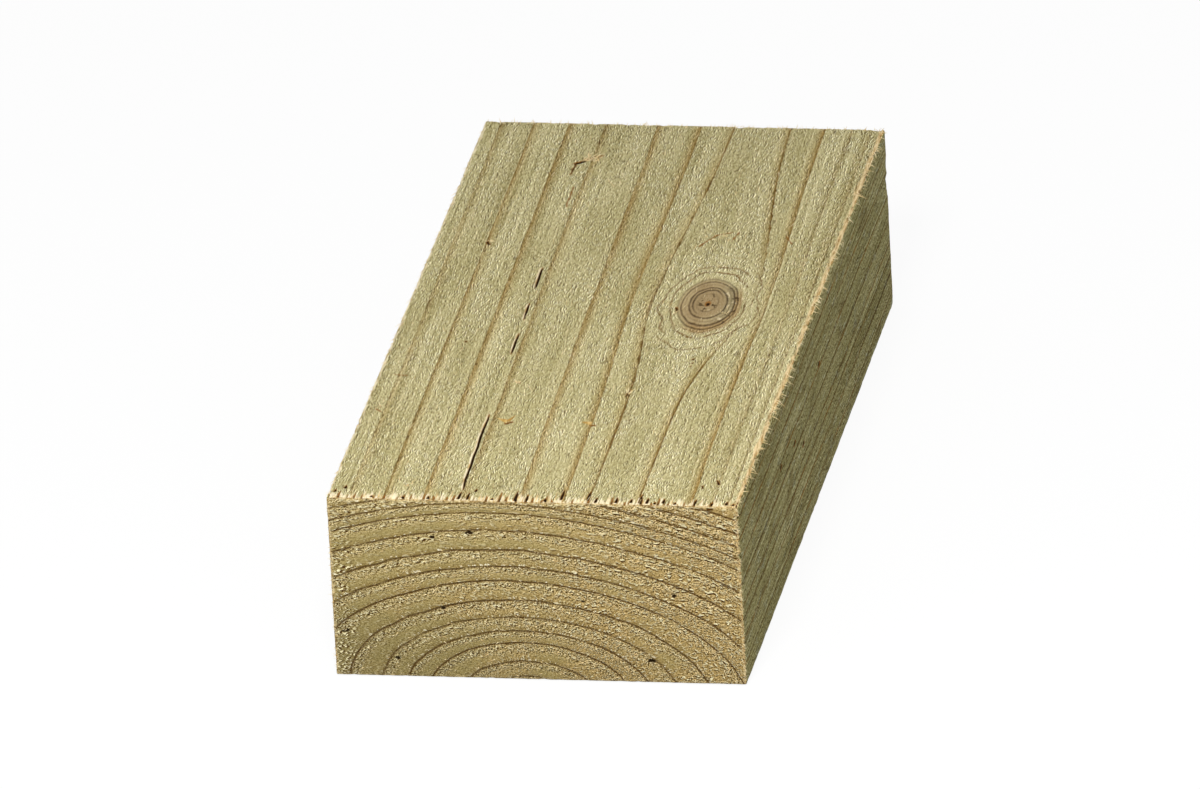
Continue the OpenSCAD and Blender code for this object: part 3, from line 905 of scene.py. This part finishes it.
batches.append(slivers(tufts, lay, between(0.4, 1.3, len(turned)), between(0.2, 0.42, len(turned)),
                       drawn(((-0.4, 0.4), (0.0, 0.2), (-0.4, 0.4)), len(turned))))
# Fibres raised along the grain all over the upper face.
raised = drawn(((1.0, 99.0), (3.0, 223.0), (TOP, TOP)), 700)
batches.append(cast(raised, ((-0.15, 0.15), (-1, -1), (0.02, 0.1)), (1.4, 4.2), (0.1, 0.22),
                    ((-0.3, 0.3), (-0.1, 0.1), (-0.2, 0.0))))
batches += [strand(*chip) for chip in CHIPS]

fibre_spots = np.concatenate([batch.reshape(-1, 3) for batch in batches])
fibre_count = len(fibre_spots) // len(SLIVER)
fibre_faces = [[i + copy * len(SLIVER) for i in face] for copy in range(fibre_count) for face in SLIVER_FACES]
fibre_mesh = bpy.data.meshes.new("frayed_fibres")
fibre_mesh.from_pydata((fibre_spots * MM + np.array(stud_low)).tolist(), [], fibre_faces)
fibre_mesh.shade_smooth()
golden = np.repeat(np.arange(fibre_count) >= fibre_count - len(CHIPS), len(SLIVER))
fibre_mesh.attributes.new("golden", "FLOAT", "POINT").data.foreach_set("value", golden.astype(np.float32))
frayed_fibres = stand("frayed_fibres", fibre_mesh)

frayed = Finish(bpy.data.materials.new("frayed_fibre"))
where = frayed.node("TexCoord", {}).outputs["Object"]
patch = frayed.noise(where, (700.0, 300.0, 700.0), 4.0)
fray_colour = frayed.mix(frayed.step(patch, 0.35, 0.65), shade(220, 192, 134), shade(248, 233, 190))
chip_colour = frayed.mix(frayed.step(patch, 0.4, 0.6), shade(184, 146, 78), shade(220, 190, 124))
fray_colour = frayed.lay(fray_colour, chip_colour, frayed.kept("golden"))
fibre_mesh.materials.append(frayed.finish(fray_colour, frayed.relief((patch, 0.05)), 0.9))
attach(frayed_fibres, "root")

# The studio: a plain white floor that fades to white where the camera sees it and keeps a light shadow,
# one soft lamp from the upper front and an even white surround.
FLOOR_HALF = 3.0
FLOOR_DROP = 0.0002
ground = bmesh.new()
bmesh.ops.create_grid(ground, x_segments=1, y_segments=1, size=FLOOR_HALF)
bmesh.ops.translate(ground, vec=(0.0, 0.0, -FLOOR_DROP), verts=ground.verts)
ground_mesh = bpy.data.meshes.new("studio_floor")
ground.to_mesh(ground_mesh)
ground.free()
studio_floor = stand("studio_floor", ground_mesh)

SHADOW_KEPT = 0.08
WHITE = (1.0, 1.0, 1.0, 1.0)
FLOOR_UNSEEN = (0.3, 0.3, 0.3, 1.0)
paper = Finish(bpy.data.materials.new("white_paper"))
matt = paper.tree.nodes["Principled BSDF"]
matt.inputs["Roughness"].default_value = 0.9
floor_seen = paper.seen()
paper.feed(matt.inputs["Base Color"], paper.mix(floor_seen, FLOOR_UNSEEN, WHITE))
glow = paper.node("Emission", {"Color": WHITE, "Strength": 1.0})
glowing = paper.maths("MULTIPLY", floor_seen, 1 - SHADOW_KEPT)
lit = paper.node("MixShader", {0: glowing, 1: matt.outputs[0], 2: glow.outputs[0]})
paper.feed(paper.tree.nodes["Material Output"].inputs["Surface"], lit.outputs[0])
ground_mesh.materials.append(paper.owner)

SURROUND = 0.52
sky = Finish(bpy.data.worlds.new("studio"))
bpy.context.scene.world = sky.owner
background = sky.tree.nodes["Background"]
background.inputs["Color"].default_value = WHITE
sky.feed(background.inputs["Strength"], sky.level(sky.seen(), 0.0, 1.0, SURROUND, 1.0))

LAMP_TOWARDS = Vector((0.03, -0.69, 0.69)).normalized()
LAMP_DISTANCE = 0.75
LAMP_SIZE = 0.16
LAMP_WATTS = 3.9
lamp_data = bpy.data.lights.new("soft_lamp", "AREA")
lamp_data.shape = "DISK"
lamp_data.size = LAMP_SIZE
lamp_data.energy = LAMP_WATTS
soft_lamp = stand("soft_lamp", lamp_data)
soft_lamp.location = LAMP_TOWARDS * LAMP_DISTANCE
soft_lamp.rotation_mode = "QUATERNION"
soft_lamp.rotation_quaternion = LAMP_TOWARDS.to_track_quat("Z", "Y")

# The camera: a very long lens from the front and a little to the right, 24 degrees up, because the sides
# of the stud stay parallel in the photograph.
LENS = 800.0
SENSOR = 36.0
IMAGE_WIDTH, IMAGE_HEIGHT = 1200, 789
PIXELS_PER_MM = 4.117
AZIMUTH, ELEVATION, ROLL = (math.radians(angle) for angle in (10.8, 24.0, 3.08))
MIDDLE_PIXEL = (614.2, 398.6)
toward_camera = Vector((math.sin(AZIMUTH) * math.cos(ELEVATION), -math.cos(AZIMUTH) * math.cos(ELEVATION),
                        math.sin(ELEVATION)))
camera_data = bpy.data.cameras.new("camera")
camera_data.lens = LENS
camera_data.sensor_width = SENSOR
camera_data.clip_end = 100.0
camera = stand("camera", camera_data)
bpy.context.scene.camera = camera
distance = LENS / SENSOR * IMAGE_WIDTH / PIXELS_PER_MM * MM
upright = toward_camera.to_track_quat("Z", "Y").to_matrix().to_4x4()
rolled = upright @ Matrix.Rotation(-ROLL, 4, "Z")
right, above = rolled.col[0].to_3d(), rolled.col[1].to_3d()
aim = (stud_low + stud_high) / 2
aim -= right * ((MIDDLE_PIXEL[0] - IMAGE_WIDTH / 2) / PIXELS_PER_MM * MM)
aim += above * ((MIDDLE_PIXEL[1] - IMAGE_HEIGHT / 2) / PIXELS_PER_MM * MM)
rolled.translation = aim + toward_camera * distance
camera.matrix_world = rolled

bpy.context.scene.view_settings.view_transform = "Standard"
